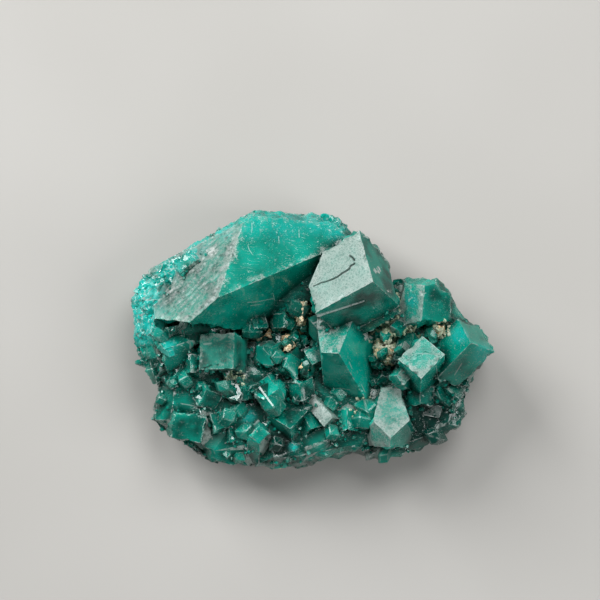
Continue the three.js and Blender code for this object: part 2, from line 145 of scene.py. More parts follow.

# white cleavage flakes and painted glints: x, y, reach in mm, strength
flakeAndGlintPlaces = [
    (-10.4, 9.2, 0.7, 1.0), (-6.2, -9.6, 0.75, 1.0), (5.9, 0.4, 0.7, 0.9), (9.1, -0.3, 0.5, 0.9),
    (11.3, 5.2, 0.3, 0.9), (-8.6, -3.4, 0.4, 0.8), (-2.6, -1.9, 0.35, 0.9), (2.6, -6.6, 0.8, 0.8),
    (-13.6, 0.7, 0.5, 0.8), (12.9, -3.9, 0.4, 0.7), (6.8, 7.3, 0.6, 1.0), (8.1, 5.2, 0.45, 1.0),
]

# open cracks, the raised ledge of the block with a painted highlight along it, and pale scratches, some of
# them painted highlights, as lines in plan, mm
crackLines = [
    [(4.4, 7.95), (3.98, 7.68), (3.9, 7.45), (3.5, 7.15), (3.13, 6.96), (2.7, 6.62), (2.22, 6.37),
     (1.75, 6.2), (1.32, 6.05), (1.0, 6.0), (0.6, 5.8), (0.14, 5.61)],
    [(3.94, 8.77), (4.2, 8.6), (4.4, 8.31)],
]
ledgeLines = [[(0.08, 2.3), (1.5, 2.85), (2.8, 3.25), (5.37, 4.11)]]
scratchAndGlintLines = [
    [(-6.2, 12.2), (-6.16, 11.6), (-6.22, 11.2)], [(-3.4, 10.8), (-3.36, 10.1)],
    [(-1.3, 11.5), (-1.26, 10.7)], [(-6.6, 9.9), (-6.45, 9.4), (-6.1, 8.9)], [(-8.2, 9.3), (-7.7, 8.5)],
    [(-6.64, 3.92), (-5.4, 4.05), (-3.99, 4.34)], [(-6.3, 3.6), (-5.2, 3.75)], [(-4.0, 4.9), (-3.8, 4.1)],
    [(2.36, -5.07), (3.1, -5.0), (4.02, -5.17)], [(3.9, -2.2), (4.2, -2.9)], [(5.2, -4.6), (5.6, -5.4)],
    [(10.78, -1.32), (12.0, -1.35), (13.28, -1.43)], [(12.9, -2.6), (13.2, -4.2)],
    # the two short lines from x -11.2 to -10.4 just below are a painted highlight on the left block
    [(14.9, -3.6), (15.6, -2.4)], [(-11.2, -0.35), (-10.4, -0.25)], [(-11.15, -0.45), (-10.4, -0.35)],
    [(13.0, -5.0), (13.4, -6.0)], [(-5.0, -0.9), (-4.4, -1.5)], [(-13.6, -6.6), (-11.2, -7.0)],
]

# where fine druse, pale sugar and the bumps of the rim sit: x, y, reach in mm, strength
drusePlaces = [
    (-10.6, -3.4, 1.6, 0.5), (-6.8, -5.6, 2.0, 0.4), (3.2, -9.6, 2.0, 0.35), (13.9, -7.4, 2.0, 0.3),
]
sugarPlaces = [
    (8.6, 0.6, 2.6, 1.0), (8.9, 3.4, 1.5, 0.5), (-8.0, -3.7, 1.2, 0.3), (5.2, -7.2, 1.4, 0.3),
    (13.6, 1.2, 1.0, 0.6),
]
rimPlaces = [
    (-17.4, 3.2, 2.0, 1.0), (-17.2, 5.0, 1.7, 1.0), (-15.6, 6.9, 1.5, 0.9), (-13.0, 8.5, 1.3, 0.8),
    (-10.6, 10.4, 1.2, 0.8), (-8.5, 11.9, 1.2, 0.8), (-6.1, 13.2, 1.2, 0.7), (-17.6, 1.2, 1.4, 0.7),
]

# finish of the faces without a name, and how far off a named face may lie
smallFaces = {
    "frost": ((0.03, 0.1, 0.25, 0.45, 0.7), (0.44, 0.28, 0.14, 0.09, 0.05)),       # values and their chances
    "tone": (0.08, 0.7),        # from, to
    "matt": ((0.0, 0.15, 0.3, 0.6), (0.35, 0.3, 0.2, 0.15)),
    "offPlane": 0.06,           # mm
    "reach": 16.0,              # mm from the tip
    "offBearing": 28.0,         # degrees
    "namedLean": 0.15,          # named faces look up at least this much
    "flatArea": 2.5,            # mm2, flats from this size on are plain, under the small crystals
    "flatLean": 0.5,
    "flatTop": 8.5,             # mm
    "flatFrost": 0.15,
    "flatMatt": 0.2,
}


def splitEdges(points, triangles, facet, chosen):
    # every chosen edge gets a middle point, and the triangles beside it are cut to match,
    # so the surface stays closed
    sides = np.sort(np.stack([triangles, np.roll(triangles, -1, axis=1)], axis=2), axis=2)
    edges, index = np.unique(sides.reshape(-1, 2), axis=0, return_inverse=True)
    beside = np.full((2, len(edges)), -1)
    beside[0, index.ravel()] = np.repeat(facet, 3)
    beside[1, index.ravel()[::-1]] = np.repeat(facet, 3)[::-1]
    index = index.reshape(-1, 3)
    cut = chosen(points, edges, beside)
    middle = np.full(len(edges), -1)
    middle[cut] = len(points) + np.arange(cut.sum())
    points = np.vstack([points, points[edges[cut]].mean(axis=1)])
    marked = cut[index]
    count = marked.sum(axis=1)
    first = np.where(count == 2, (np.argmin(marked, axis=1) + 1) % 3, np.argmax(marked, axis=1))
    turn = (first[:, None] + np.arange(3)) % 3
    corner = np.take_along_axis(triangles, turn, axis=1)
    mid = middle[np.take_along_axis(index, turn, axis=1)]
    a, b, c = corner.T
    ab, bc, ca = mid.T
    far = np.linalg.norm(points[a] - points[bc], axis=1) > np.linalg.norm(points[ab] - points[c], axis=1)
    pieces = [
        (count == 0, [(a, b, c)]),
        (count == 1, [(a, ab, c), (ab, b, c)]),
        ((count == 2) & far, [(ab, b, bc), (a, ab, c), (ab, bc, c)]),
        ((count == 2) & ~far, [(ab, b, bc), (a, ab, bc), (a, bc, c)]),
        (count == 3, [(a, ab, ca), (ab, b, bc), (ca, bc, c), (ab, bc, ca)]),
    ]
    made = [(np.stack(three, axis=1)[which], facet[which]) for which, parts in pieces for three in parts]
    return points, np.vstack([m[0] for m in made]), np.concatenate([m[1] for m in made]), int(cut.sum())


def lineDistances(points, lines):
    best = np.full(len(points), 1e9)
    for line in lines:
        for a, b in zip(line, line[1:]):
            a, b = np.array(a), np.array(b)
            along = np.clip(((points - a) @ (b - a)) / ((b - a) @ (b - a)), 0, 1)
            best = np.minimum(best, np.linalg.norm(points - a - along[:, None] * (b - a), axis=1))
    return best


def facetsOf(nodeName):
    # the flat faces of a node, and its triangles with the face that each belongs to
    bm = bmesh.new()
    bm.from_mesh(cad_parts[nodeName].data)
    bmesh.ops.remove_doubles(bm, verts=bm.verts, dist=1e-7)
    bmesh.ops.dissolve_limit(bm, angle_limit=math.radians(0.6), use_dissolve_boundaries=False,
                             verts=bm.verts, edges=bm.edges)
    facet = bm.faces.layers.int.new("facet")
    for i, f in enumerate(bm.faces):
        f[facet] = i
    facets = [(f.normal.copy(), f.calc_center_median() / mm, f.calc_area() / mm ** 2) for f in bm.faces]
    bmesh.ops.triangulate(bm, faces=bm.faces)
    bm.verts.index_update()
    points = np.array([v.co for v in bm.verts]) / mm
    triangles = np.array([[v.index for v in f.verts] for f in bm.faces])
    ids = np.array([f[facet] for f in bm.faces])
    bm.free()
    return points, triangles, ids, facets


def edgeLengths(points, edges):
    return np.linalg.norm(points[edges[:, 0]] - points[edges[:, 1]], axis=1)


def evenSplit(points, triangles, ids, longest):
    limit = edgeLengths(points, triangles[:, :2]).max() / 2
    while True:
        limit = max(limit, longest)
        for _ in range(4):
            points, triangles, ids, cuts = splitEdges(
                points, triangles, ids, lambda p, e, beside: edgeLengths(p, e) > limit)
            if not cuts:
                break
        if limit == longest:
            return points, triangles, ids
        limit /= 2


def meshFrom(points, triangles):
    mesh = bpy.data.meshes.new("refined")
    mesh.from_pydata((points * mm).tolist(), [], triangles.tolist())
    bm = bmesh.new()
    bm.from_mesh(mesh)
    bpy.data.meshes.remove(mesh)
    bm.normal_update()
    bm.faces.ensure_lookup_table()
    bm.verts.ensure_lookup_table()
    return bm


def segmentDistances(points, starts, ends):
    # distance of each point to the closest of the short edges around it
    if not len(starts):
        return np.full(len(points), farAway)
    tree = KDTree(len(starts))
    for i, m in enumerate((starts + ends) / 2):
        tree.insert(m, i)
    tree.balance()
    close = np.array([[hit[1] for hit in tree.find_n(p, 5)] for p in points])
    a, ab = starts[close], (ends - starts)[close]
    ap = points[:, None, :] - a
    t = np.clip((ap * ab).sum(2) / np.maximum((ab * ab).sum(2), 1e-12), 0, 1)
    return np.linalg.norm(ap - t[..., None] * ab, axis=2).min(1)


def sharpEdges(bm, angle):
    ridges, hollows = [], []
    for e in bm.edges:
        turn = math.degrees(e.calc_face_angle_signed(0.0)) if len(e.link_faces) == 2 else 0.0
        e.smooth = abs(turn) < angle
        if abs(turn) >= angle:
            (ridges if turn > 0 else hollows).append([v.co / mm for v in e.verts])
    return [(np.array([p[0] for p in pairs]), np.array([p[1] for p in pairs])) for pairs in (ridges, hollows)]


def faceFinish(facets, s, seed):
    # each crystal face has its own finish: named for the large ones, by chance for the rest
    chance = np.random.default_rng(seed)
    frosts, frostChances = s["frost"]
    matts, mattChances = s["matt"]
    finish = {
        "frost": chance.choice(frosts, len(facets), p=frostChances),
        "tone": chance.uniform(*s["tone"], len(facets)),
        "matt": chance.choice(matts, len(facets), p=mattChances),
        "stepped": np.zeros(len(facets)),
        "named": np.zeros(len(facets), bool),
    }
    for i, (normal, centre, area) in enumerate(facets):
        for crystal in largeFaces:
            tip = Vector(crystal["tip"])
            if abs(normal.dot(centre - tip)) > s["offPlane"] or (centre - tip).length > s["reach"]:
                continue
            for bearing, *values in crystal["faces"]:
                off = abs((compass(normal.x, normal.y) - bearing + 180) % 360 - 180)
                if off < s["offBearing"] and normal.z > s["namedLean"]:
                    for key, value in zip(("frost", "tone", "matt", "stepped"), values):
                        finish[key][i] = value
                    finish["named"][i] = True
        flat = area > s["flatArea"] and normal.z > s["flatLean"] and centre.z < s["flatTop"]
        if flat and not finish["named"][i]:
            finish["frost"][i] = min(finish["frost"][i], s["flatFrost"])
            finish["matt"][i] = s["flatMatt"]
    return finish


def spots(points, places):
    value = np.zeros(len(points))
    for x, y, reach, strength in places:
        away = np.hypot(points[:, 0] - x, points[:, 1] - y) / reach
        value = np.maximum(value, strength * np.clip(1.25 - away ** 2, 0, 1))
    return value


def putAttribute(mesh, name, domain, values):
    mesh.attributes.new(name, "FLOAT", domain).data.foreach_set("value", values.astype(np.float32))


def growthSteps(points, normals, s):
    # plates that overlap like shingles down a face: how far along its plate each point is, from 0 to 1
    strike = np.cross([0, 0, 1], normals)
    dip = np.cross(normals, strike)
    dip /= np.maximum(np.linalg.norm(dip, axis=1), 1e-6)[:, None]
    down = (points * dip).sum(axis=1) / s["stepWidth"]
    warp = np.array([noise.noise(Vector(p * 0.4)) + 0.35 * noise.noise(Vector(p * 1.3)) for p in points])
    return (down + warp) % 1.0


def refineCrystals(points, triangles, ids, finish, s):
    # even triangles first, then finer ones along the borders, on stepped faces and the rim, and beside lines
    points, triangles, ids = evenSplit(points, triangles, ids, s["edgeLength"])
    lines = crackLines + scratchAndGlintLines + ledgeLines
    steppedFacet = finish["stepped"] > 0

    def besideBorder(points, edges, beside):
        stepped = steppedFacet[beside[0]] | steppedFacet[beside[1]]
        lengths = edgeLengths(points, edges)
        middles = points[edges].mean(axis=1)
        border = (middles[:, 2] > s["borderFloor"]) & (beside[0] != beside[1]) & (lengths > s["borderEdge"])
        bumpy = (middles[:, 2] > s["rimFloor"]) & (spots(middles, rimPlaces) > 0.05)
        return border | (stepped | bumpy) & (lengths > s["steppedEdge"])

    def besideLine(points, edges, beside):
        middles = points[edges].mean(axis=1)
        near = (lineDistances(middles[:, :2], lines) < s["fineReach"]) & (middles[:, 2] > s["lineFloor"])
        return near & (edgeLengths(points, edges) > s["fineEdge"])

    for chosen in (besideBorder, besideBorder, besideLine, besideLine, besideLine):
        points, triangles, ids, _ = splitEdges(points, triangles, ids, chosen)
    return points, triangles, ids


def buildCrystals(s):
    points, triangles, ids, facets = facetsOf("dioptase_crystals")
    finish = faceFinish(facets, smallFaces, s["seed"])
    points, triangles, ids = refineCrystals(points, triangles, ids, finish, s)
    bm = meshFrom(points, triangles)
    ridges, hollows = sharpEdges(bm, s["sharpAngle"])
    toRidge = segmentDistances(points, *ridges)
    toHollow = segmentDistances(points, *hollows)
    normals = np.array([v.normal for v in bm.verts])
    around = [[ids[f.index] for f in v.link_faces] for v in bm.verts]

    def atPoints(values):       # a value of the faces, averaged at each point between them
        return np.array([values[a].mean() for a in around])

    def lineDistance(lines, allowed):
        return np.where(allowed, lineDistances(points[:, :2], lines), farAway)

    across, level, upward = points[:, 0], points[:, 2], normals[:, 2]
    crack = lineDistance(crackLines, (upward > 0.3) & (level > s["crackFloor"]))
    scratchAndGlint = lineDistance(scratchAndGlintLines, (upward > 0.25) & (level > s["lineFloor"]))
    ledge = lineDistance(ledgeLines, (normals[:, 1] < 0) & (level > s["lineFloor"]))
    frost, stepped = atPoints(finish["frost"]), atPoints(finish["stepped"])
    facetUp = np.array([normal.z for normal, centre, area in facets])
    facetY = np.array([centre.y for normal, centre, area in facets])
    facetLevel = np.array([centre.z for normal, centre, area in facets])
    facetArea = np.array([area for normal, centre, area in facets])

    # growth steps and chipped edges
    inside = np.clip(np.minimum(toRidge, toHollow) / s["stepMargin"], 0, 1)
    plate = growthSteps(points, normals, s)
    coarse, fine = s["chipScales"]
    nick = np.array([noise.noise(Vector(p * coarse)) + 0.5 * noise.noise(Vector(p * fine)) for p in points])
    moves = s["stepHeight"] * (plate - 0.5) * inside * stepped
    moves -= s["chipDepth"] * np.maximum(0, nick - s["chipStart"]) * np.exp(-(toRidge / s["chipReach"]) ** 2)

    # bumps on the glowing rim and lumps round the sides
    rim = spots(points, rimPlaces) * np.clip(1 - 3 * stepped, 0, 1) * np.clip(level - s["rimFloor"], 0, 1)
    for i in np.nonzero(rim > 0)[0]:
        cell = noise.voronoi(Vector(points[i] / s["bumpWidth"]))[0][0]
        moves[i] += s["bumpHeight"] * (s["bumpLevel"] - cell) * rim[i]
    lowLean, highLean = s["wallLean"]
    sideWall = ~finish["named"] & (facetUp > lowLean) & (facetUp < highLean)
    sideWall &= (facetLevel < s["wallTop"]) & (facetArea > s["wallArea"])
    wall = atPoints(sideWall) * np.clip(1.5 * level - 0.8, 0, 1)
    for i in np.nonzero(wall * (1 - rim) > 0)[0]:
        cell = noise.voronoi(Vector(points[i] / s["wallWidth"]), distance_metric="MANHATTAN")[0][0]
        moves[i] += s["wallHeight"] * (s["wallLevel"] - cell) * wall[i] * (1 - rim[i])

    # the crack and the ledge of the block
    crackWidth, ledgeWidth = np.interp(across, *s["crackWidths"]), np.interp(across, *s["ledgeWidths"])
    moves -= s["crackDepth"] * np.clip(1.2 - crack / crackWidth, 0, 1)
    moves += s["ledgeHeight"] * np.clip(1 - ledge / s["ledgeReach"], 0, 1)
    for v, move in zip(bm.verts, moves):
        v.co += v.normal * float(move) * mm

    mesh = bpy.data.meshes.new("crystals")
    bm.to_mesh(mesh)
    bm.free()
    lumpy = np.maximum(wall, rim)[triangles].mean(axis=1) > 0.3       # lumps keep their facets
    mesh.polygons.foreach_set("use_smooth", ~lumpy)
    for key in ("frost", "tone", "matt"):
        putAttribute(mesh, key, "FACE", finish[key][ids])
    clear = 1 - 0.85 * np.clip(2.5 * (frost - 0.3), 0, 1)
    gap = np.clip(1 - np.minimum(plate, 1 - plate) / s["stepGap"], 0, 1) * stepped * inside
    gap *= np.clip(0.5 + 1.5 * nick, 0, 1)
    scratchesAndGlints = np.clip(0.8 - scratchAndGlint / s["scratchWidth"], 0, 1)
    topSide = np.clip(upward * 2, 0, 1)
    crevice = np.clip(1 - toHollow / s["creviceReach"], 0, 1) * s["creviceDruse"]
    lowest, highest = s["fieldBand"]
    openFlat = ~finish["named"] & (facetUp > s["fieldLean"]) & (facetY < s["fieldBack"])
    openFlat &= (facetLevel > lowest) & (facetLevel < highest)
    field = atPoints(openFlat) * np.clip(1.6 * toRidge - 0.25, 0, 1) * (across > s["fieldLeft"])
    masks = {
        "ridge": np.clip(toRidge, 0, 3),
        "hollow": np.clip(toHollow, 0, 3),
        # painted glow where the crystal is thin
        "paintedGlow": spots(points, paintedGlowPlaces) * clear,
        # painted shade over the deep parts of the cluster
        "deepShade": spots(points, paintedShadePlaces),
        "crack": np.maximum(np.clip(1.25 - crack / crackWidth, 0, 1), 0.75 * gap),
        # scratches, with painted highlights along the ledge and on the left block
        "scratchAndGlint": np.maximum(scratchesAndGlints, np.clip(1.3 - ledge / ledgeWidth, 0, 1)),
        # white flakes with painted glints
        "flakeAndGlint": spots(points, flakeAndGlintPlaces) * np.clip(upward * 3, 0, 1),
        "druse": np.maximum(spots(points, drusePlaces), crevice) * topSide,
        "sugary": spots(points, sugarPlaces) * topSide * (frost < 0.35) * (level < s["sugarTop"]),
        "field": field,
    }
    for key, values in masks.items():
        putAttribute(mesh, key, "POINT", values)
    crystals = bpy.data.objects.new("crystals", mesh)
    bpy.context.scene.collection.objects.link(crystals)
    print("crystals:", len(mesh.polygons), "triangles,", len(facets), "faces")
    return crystals


# Small crystals: druse in the hollows, the field between the large crystals, pale sugar, cover of the rock

# spacing and sizes in mm, at most so many per mm2, leaning by up to so many radians
druseGrowth = {"spacing": 0.2, "perArea": 5.0, "smallest": 0.16, "largest": 0.5, "lean": 0.75, "seed": 5}
fieldGrowth = {"spacing": 1.2, "perArea": 3.0, "smallest": 0.9, "largest": 2.6, "lean": 0.5, "seed": 21}
sugarGrowth = {"spacing": 0.12, "perArea": 30.0, "smallest": 0.14, "largest": 0.4, "lean": 1.2, "seed": 33}
overGrowth = {"spacing": 0.5, "perArea": 3.0, "smallest": 0.6, "largest": 1.5, "lean": 0.7, "seed": 44}
growthStretch = ((0.7, 0.7, 0.75), (1.35, 1.35, 1.25))      # least and most, along each axis

# bare rock left open between the crystals: x, y, reach in mm, strength
barePlaces = [
    (-0.75, 2.8, 0.9, 1.0), (-2.3, -0.9, 0.8, 1.0), (-1.5, -2.7, 0.8, 1.0), (7.1, 1.2, 0.5, 1.0),
    (8.1, -1.9, 0.6, 1.0), (13.5, 1.9, 0.6, 1.0), (-15.7, 3.4, 0.6, 1.0), (-15.0, 0.45, 0.6, 1.0),
    (-12.3, -1.0, 0.6, 1.0), (-11.8, -4.1, 0.9, 1.0), (0.4, -4.9, 0.5, 1.0), (-3.1, -13.0, 1.3, 1.0),
]

# one unit-sized six-sided prism with a three-faced end
prism = {
    "halfWidths": (0.5, 0.46),
    "foot": -0.8,
    "shoulders": (0.2, 0.45),
    "tip": (0.06, -0.04, 0.7),
    "tones": (0.0, 0.34, 0.12, 0.42),               # in turn over its faces
    "frosts": (0.03, 0.16, 0.06, 0.03, 0.36),
    "footFade": 0.75,           # painted shade below this height
    "wornEdge": 0.045,
}


def seedCrystal(name, s, bevel):
    bm = bmesh.new()
    wide, narrow = s["halfWidths"]
    ring = [(math.cos(math.radians(60 * i)), math.sin(math.radians(60 * i))) for i in range(6)]
    low = [bm.verts.new((wide * x, narrow * y, s["foot"])) for x, y in ring]
    high = [bm.verts.new((wide * x, narrow * y, s["shoulders"][i % 2])) for i, (x, y) in enumerate(ring)]
    tip = bm.verts.new(s["tip"])
    for i in range(6):
        bm.faces.new((low[i], low[(i + 1) % 6], high[(i + 1) % 6], high[i]))
    for i in range(0, 6, 2):
        bm.faces.new((tip, high[(i + 5) % 6], high[i], high[i + 1]))
    bm.faces.new(low[::-1])
    bmesh.ops.triangulate(bm, faces=[f for f in bm.faces if tip in f.verts])
    bmesh.ops.dissolve_limit(bm, angle_limit=math.radians(4), verts=bm.verts, edges=bm.edges)
    bmesh.ops.recalc_face_normals(bm, faces=bm.faces)
    worn = []
    if bevel:
        worn = bmesh.ops.bevel(bm, geom=list(bm.edges), offset=bevel, segments=1, affect="EDGES")["faces"]
    bm.faces.index_update()
    wornFaces = {f.index for f in worn}
    mesh = bpy.data.meshes.new(name)
    bm.to_mesh(mesh)
    bm.free()
    faces = range(len(mesh.polygons))
    tones, frosts = s["tones"], s["frosts"]
    putAttribute(mesh, "edge", "FACE", np.array([float(i in wornFaces) for i in faces]))
    putAttribute(mesh, "tone", "FACE", np.array([tones[i % len(tones)] for i in faces]))
    putAttribute(mesh, "frost", "FACE", np.array([frosts[i % len(frosts)] for i in faces]))
    fade = np.array([s["footFade"] - v.co.z for v in mesh.vertices])
    putAttribute(mesh, "foot", "POINT", np.clip(fade, 0, 1))
    return bpy.data.objects.new(name, mesh)


def scatterTree(name, attribute):
    # points over a surface where an attribute allows, an instance on each, turned and sized by chance
    tree = bpy.data.node_groups.new(name, "GeometryNodeTree")
    face = tree.interface
    face.new_socket("Geometry", in_out="INPUT", socket_type="NodeSocketGeometry")
    face.new_socket("Shape", in_out="INPUT", socket_type="NodeSocketObject")
    for label in ("Spacing", "Per Area", "Smallest", "Largest", "Lean"):
        face.new_socket(label, in_out="INPUT", socket_type="NodeSocketFloat")
    face.new_socket("Seed", in_out="INPUT", socket_type="NodeSocketInt")
    face.new_socket("Material", in_out="INPUT", socket_type="NodeSocketMaterial")
    face.new_socket("Geometry", in_out="OUTPUT", socket_type="NodeSocketGeometry")
    node, link = tree.nodes.new, tree.links.new
    given, out = node("NodeGroupInput"), node("NodeGroupOutput")
    allowed = node("GeometryNodeInputNamedAttribute")
    allowed.inputs["Name"].default_value = attribute
    points = node("GeometryNodeDistributePointsOnFaces")
    points.distribute_method = "POISSON"
    link(given.outputs["Geometry"], points.inputs["Mesh"])
    link(allowed.outputs["Attribute"], points.inputs["Density Factor"])
    link(given.outputs["Per Area"], points.inputs["Density Max"])
    link(given.outputs["Spacing"], points.inputs["Distance Min"])
    link(given.outputs["Seed"], points.inputs["Seed"])
    lean = node("ShaderNodeMath")
    lean.operation = "MULTIPLY"
    lean.inputs[1].default_value = -1
    link(given.outputs["Lean"], lean.inputs[0])
    least, most = node("ShaderNodeCombineXYZ"), node("ShaderNodeCombineXYZ")
    for axis in (0, 1):
        link(lean.outputs[0], least.inputs[axis])
        link(given.outputs["Lean"], most.inputs[axis])
    most.inputs[2].default_value = 2 * math.pi
    turn = node("FunctionNodeRandomValue")
    turn.data_type = "FLOAT_VECTOR"
    link(least.outputs[0], turn.inputs["Min"])
    link(most.outputs[0], turn.inputs["Max"])
    link(given.outputs["Seed"], turn.inputs["Seed"])
    euler, rotate = node("FunctionNodeEulerToRotation"), node("FunctionNodeRotateRotation")
    rotate.rotation_space = "LOCAL"
    link(turn.outputs["Value"], euler.inputs[0])
    link(points.outputs["Rotation"], rotate.inputs["Rotation"])
    link(euler.outputs[0], rotate.inputs["Rotate By"])
    size = node("FunctionNodeRandomValue")
    size.data_type = "FLOAT"
    link(given.outputs["Smallest"], size.inputs[2])
    link(given.outputs["Largest"], size.inputs[3])
    link(given.outputs["Seed"], size.inputs["Seed"])
    shape = node("GeometryNodeObjectInfo")
    link(given.outputs["Shape"], shape.inputs["Object"])
    place = node("GeometryNodeInstanceOnPoints")
    link(points.outputs["Points"], place.inputs["Points"])
    link(shape.outputs["Geometry"], place.inputs["Instance"])
    link(rotate.outputs[0], place.inputs["Rotation"])
    stretch = node("FunctionNodeRandomValue")
    stretch.data_type = "FLOAT_VECTOR"
    stretch.inputs["Min"].default_value, stretch.inputs["Max"].default_value = growthStretch
    link(given.outputs["Seed"], stretch.inputs["Seed"])
    sized = node("ShaderNodeVectorMath")
    sized.operation = "SCALE"
    link(stretch.outputs["Value"], sized.inputs[0])
    link(size.outputs[1], sized.inputs["Scale"])
    link(sized.outputs[0], place.inputs["Scale"])
    shade = node("FunctionNodeRandomValue")
    link(given.outputs["Seed"], shade.inputs["Seed"])
    keep = node("GeometryNodeStoreNamedAttribute")
    keep.domain = "INSTANCE"
    keep.inputs["Name"].default_value = "shade"
    link(place.outputs[0], keep.inputs["Geometry"])
    link(shade.outputs[1], keep.inputs["Value"])
    real, dressed = node("GeometryNodeRealizeInstances"), node("GeometryNodeSetMaterial")
    link(keep.outputs[0], real.inputs[0])
    link(real.outputs[0], dressed.inputs["Geometry"])
    link(given.outputs["Material"], dressed.inputs["Material"])
    link(dressed.outputs[0], out.inputs[0])
    return tree


def scatter(name, base, tree, shape, s, material):
    carrier = base.copy()
    carrier.data = base.data.copy()
    carrier.name = name + "_carrier"
    bpy.context.scene.collection.objects.link(carrier)
    growth = carrier.modifiers.new("growth", "NODES")
    growth.node_group = tree
    sockets = {i.name: i.identifier for i in tree.interface.items_tree if i.in_out == "INPUT"}
    growth[sockets["Shape"]] = shape
    growth[sockets["Spacing"]] = s["spacing"] * mm
    growth[sockets["Per Area"]] = s["perArea"] / mm ** 2
    growth[sockets["Smallest"]] = s["smallest"] * mm
    growth[sockets["Largest"]] = s["largest"] * mm
    growth[sockets["Lean"]] = s["lean"]
    growth[sockets["Seed"]] = s["seed"]
    growth[sockets["Material"]] = material
    depsgraph = bpy.context.evaluated_depsgraph_get()
    mesh = bpy.data.meshes.new_from_object(carrier.evaluated_get(depsgraph))
    carrier.modifiers.remove(growth)
    bpy.data.objects.remove(carrier)
    mesh.name = name
    piece = bpy.data.objects.new(name, mesh)
    bpy.context.scene.collection.objects.link(piece)
    print(name + ":", len(mesh.polygons), "faces")
    return piece


# Rock

rockBody = {
    "edgeLength": 0.4,          # mm
    "lump": (0.2, 0.9),         # mm high, per mm
    "grain": (0.12, 4.1),
    "sink": 0.06,               # mm
    "highest": 0.12,            # mm
    "flatBelow": 0.05,          # mm, the cut-off back stays flat
    "coverFloor": 2.5,          # mm, nothing grows lower down
    "coverLean": 0.1,
    "straySugar": 0.06,         # thin sugar everywhere else
    "sugarOverGrains": 0.7,     # share of the grains that sugar takes the place of
}
grainCover = {"spacing": 0.1, "perArea": 16.0, "smallest": 0.1, "largest": 0.3, "lean": 1.5, "seed": 9}


def buildRock(s):
    points, triangles, ids, _ = facetsOf("host_rock")
    points, triangles, _ = evenSplit(points, triangles, ids, s["edgeLength"])
    bm = meshFrom(points, triangles)
    lump, lumpScale = s["lump"]
    grain, grainScale = s["grain"]
    for v in bm.verts:
        p = Vector(v.co / mm)
        if p.z < s["flatBelow"]:
            continue
        push = lump * noise.noise(p * lumpScale) + grain * noise.noise(p * grainScale) - s["sink"]
        v.co += v.normal * min(push, s["highest"]) * mm
        v.co.z = max(v.co.z, 0.0)
    mesh = bpy.data.meshes.new("rock")
    bm.to_mesh(mesh)
    bm.free()
    mesh.polygons.foreach_set("use_smooth", [True] * len(mesh.polygons))
    floor, lean = s["coverFloor"] * mm, s["coverLean"]
    topSide = np.array([float(v.co.z > floor and v.normal.z > lean) for v in mesh.vertices])
    places = np.array([v.co for v in mesh.vertices]) / mm
    sugary, bare = spots(places, sugarPlaces), spots(places, barePlaces)
    putAttribute(mesh, "grainy", "POINT", topSide * (1 - s["sugarOverGrains"] * sugary))
    putAttribute(mesh, "sugary", "POINT", topSide * np.maximum(sugary, s["straySugar"]))
    putAttribute(mesh, "overgrown", "POINT", topSide * np.clip(1 - bare - sugary, 0, 1))
    rock = bpy.data.objects.new("rock", mesh)
    bpy.context.scene.collection.objects.link(rock)
    print("rock:", len(mesh.polygons), "triangles")
    return rock


def seedGrain(name):
    bm = bmesh.new()
    bmesh.ops.create_icosphere(bm, subdivisions=1, radius=0.5)
    for v in bm.verts:
        v.co *= 1 + 0.3 * noise.noise(v.co * 5)
    mesh = bpy.data.meshes.new(name)
    bm.to_mesh(mesh)
    bm.free()
    return bpy.data.objects.new(name, mesh)


# Materials

dioptase = {
    "deepShade": "001a16", "dark": "00584c", "body": "00ab94", "light": "04d8be", "paintedGlowColour": "20f0e4",
    "frostShade": "84a097", "frost": "d2e2da", "wearAndGlint": "eaf6f1",
    "clearRoughness": 0.07, "frostRoughness": 0.42, "mattRoughness": 0.8, "wornRoughness": 0.3,
    "transmission": 0.6, "ior": 1.67, "specular": 0.1,
    "absorbColour": "10e6de", "absorbDensity": 1700.0,      # per metre
    "speckles": 0.7, "bumpStrength": 0.32, "bumpDepth": 0.12,       # mm
}
paleDruse = {                   # what differs on the sugary druse
    "transmission": 0.25, "deepShade": "a3b191", "dark": "6f937c", "body": "b4c8a8", "light": "ece8d0",
    "frostShade": "d8d6bc", "frost": "f6f0de",
}
rockEarth = {
    "tan": "d8b888", "cream": "f0e2c2", "rust": "c08a54", "grey": "a39c86",
    "bumpStrength": 0.7, "bumpDepth": 0.15,         # mm
}


